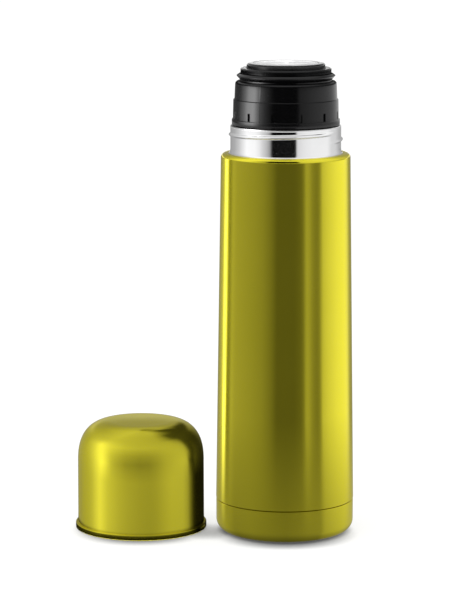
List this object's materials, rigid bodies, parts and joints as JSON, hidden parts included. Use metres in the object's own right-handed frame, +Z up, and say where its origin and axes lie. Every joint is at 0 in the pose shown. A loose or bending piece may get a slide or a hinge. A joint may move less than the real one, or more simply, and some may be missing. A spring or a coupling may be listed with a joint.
{
  "type": "vacuum flask",
  "caption": "Tall steel vacuum flask with a lacquered shell, bare threaded neck, black push-button screw stopper and a domed steel cup standing beside it.",
  "frame": {"origin": "centre of the flask's base on the table, on the flask's axis", "axes": "+Z up along the flask's axis, -Y towards the viewer, the cup stands towards -X"},
  "size_m": [0.1406, 0.0738, 0.2361],
  "materials": {
    "lacquer": "high-gloss tinted lacquer in lime green over polished steel",
    "polished_steel": "bright polished stainless steel",
    "disc_steel": "fine satin stainless steel",
    "inner_steel": "electropolished stainless steel",
    "spring_steel": "drawn stainless steel",
    "foil": "bright copper-coloured radiation foil",
    "solder_glass": "fused dark solder glass, opaque",
    "getter_metal": "sintered metal pellet",
    "black_gloss": "moulded black plastic with a soft gloss",
    "black_plastic": "moulded black plastic, satin",
    "silicone": "translucent grey silicone",
    "cup_plastic": "moulded black plastic, satin"
  },
  "bodies": {
    "flask": {"outer_shell": "lacquer", "base_cup": "lacquer", "neck_sleeve": "polished_steel", "inner_liner": "inner_steel", "liner_bottom": "inner_steel", "radiation_foil": "foil", "vacuum_base": "inner_steel", "seal_bead": "solder_glass", "getter_clip": "spring_steel", "getter": "getter_metal"},
    "stopper_seal": {"neck_seal": "silicone"},
    "stopper": {"stopper_skirt": "black_gloss", "stopper_plug": "black_plastic", "pour_lip": "black_gloss", "stem_guide": "black_plastic", "ring_spring": "spring_steel", "button_spring": "spring_steel"},
    "release_ring": {"release_ring": "black_gloss"},
    "button": {"push_button": "black_gloss", "button_disc": "disc_steel", "valve_stem": "black_plastic", "valve_plate": "black_plastic", "valve_seal": "silicone", "plate_screw": "spring_steel"},
    "cup": {"cup_shell": "lacquer", "cup_liner": "cup_plastic"}
  },
  "joints": [
    {"name": "cup_lift", "type": "slide", "parent": "flask", "child": "cup", "axis": [0, 0, 1], "range_m": [0, 0.25]},
    {"name": "stopper_rise", "type": "slide", "parent": "flask", "child": "stopper_seal", "axis": [0, 0, 1], "range_m": [0, 0.005]},
    {"name": "stopper_turn", "type": "hinge", "parent": "stopper_seal", "child": "stopper", "pos_m": [0, 0, 0.2], "axis": [0, 0, 1], "range_deg": [0, 450]},
    {"name": "ring_press", "type": "slide", "parent": "stopper", "child": "release_ring", "axis": [0, 0, -1], "range_m": [0, 0.0012], "stiffness_N_per_m": 1500, "springref_m": -0.001, "deforming": ["ring_spring"]},
    {"name": "button_press", "type": "slide", "parent": "stopper", "child": "button", "axis": [0, 0, -1], "range_m": [0, 0.004], "stiffness_N_per_m": 500, "springref_m": -0.006, "deforming": ["button_spring"]}
  ],
  "couplings": [
    {"joint": "stopper_turn", "follows": "stopper_rise", "rad_per_m": 1570.8}
  ]
}
